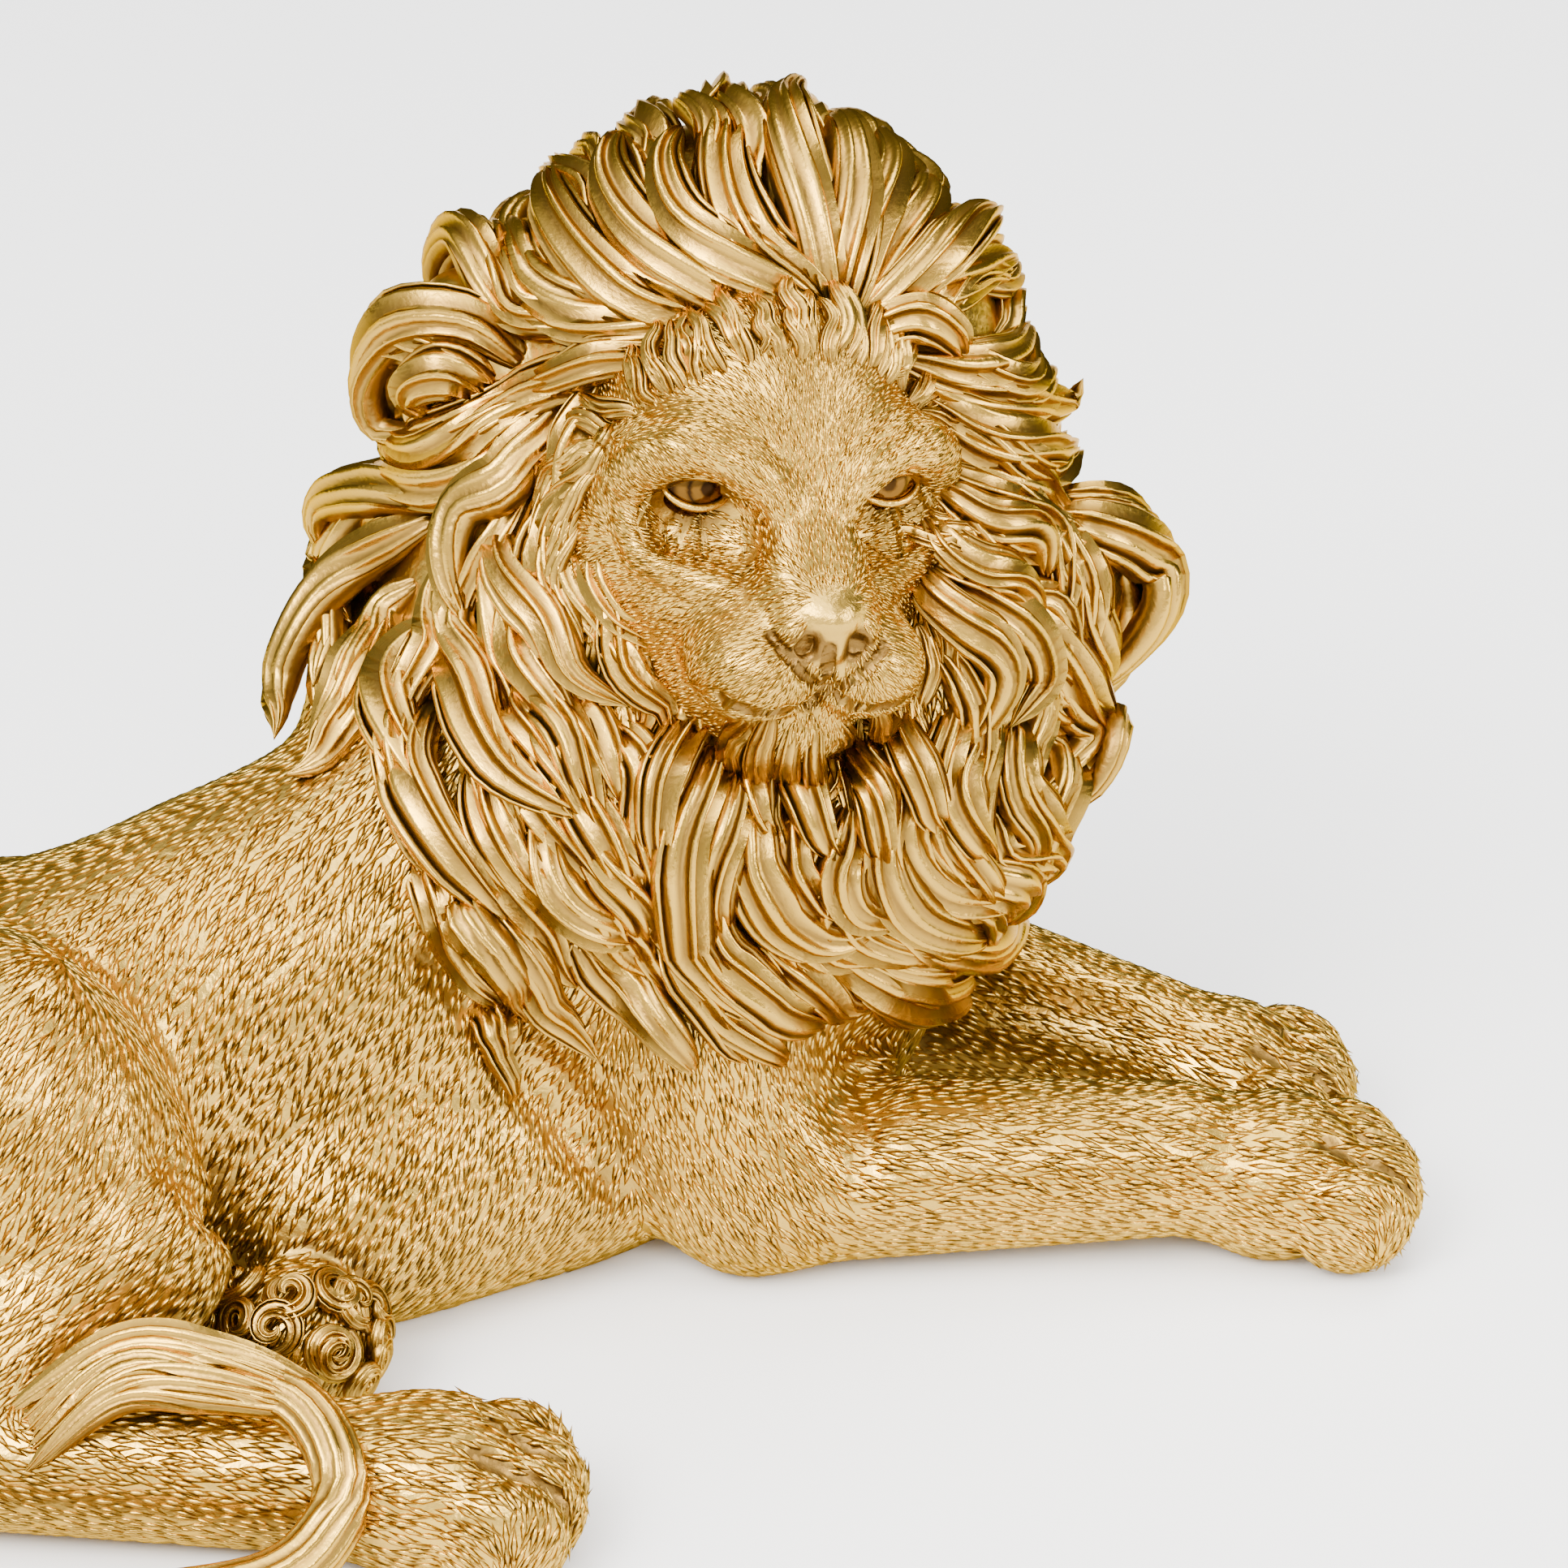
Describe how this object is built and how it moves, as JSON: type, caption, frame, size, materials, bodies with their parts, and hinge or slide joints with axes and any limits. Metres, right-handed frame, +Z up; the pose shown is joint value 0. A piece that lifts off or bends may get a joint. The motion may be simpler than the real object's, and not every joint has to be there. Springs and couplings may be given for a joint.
{
  "type": "lion figurine",
  "caption": "Cast figurine of a resting lion with its head raised and turned to one side, a long curling mane, outstretched forelegs and a tail curled round the hind foot.",
  "frame": {"origin": "on the floor, under the middle of the figure's box", "axes": "+Z up, +X the way the forelegs point, -Y the way the face looks"},
  "size_m": [0.2814, 0.209, 0.1838],
  "materials": {
    "gold": "polished gold lacquer over cast resin, bright on the locks and darker in the carving"
  },
  "bodies": {
    "root": {"lion": "gold"}
  },
  "joints": []
}
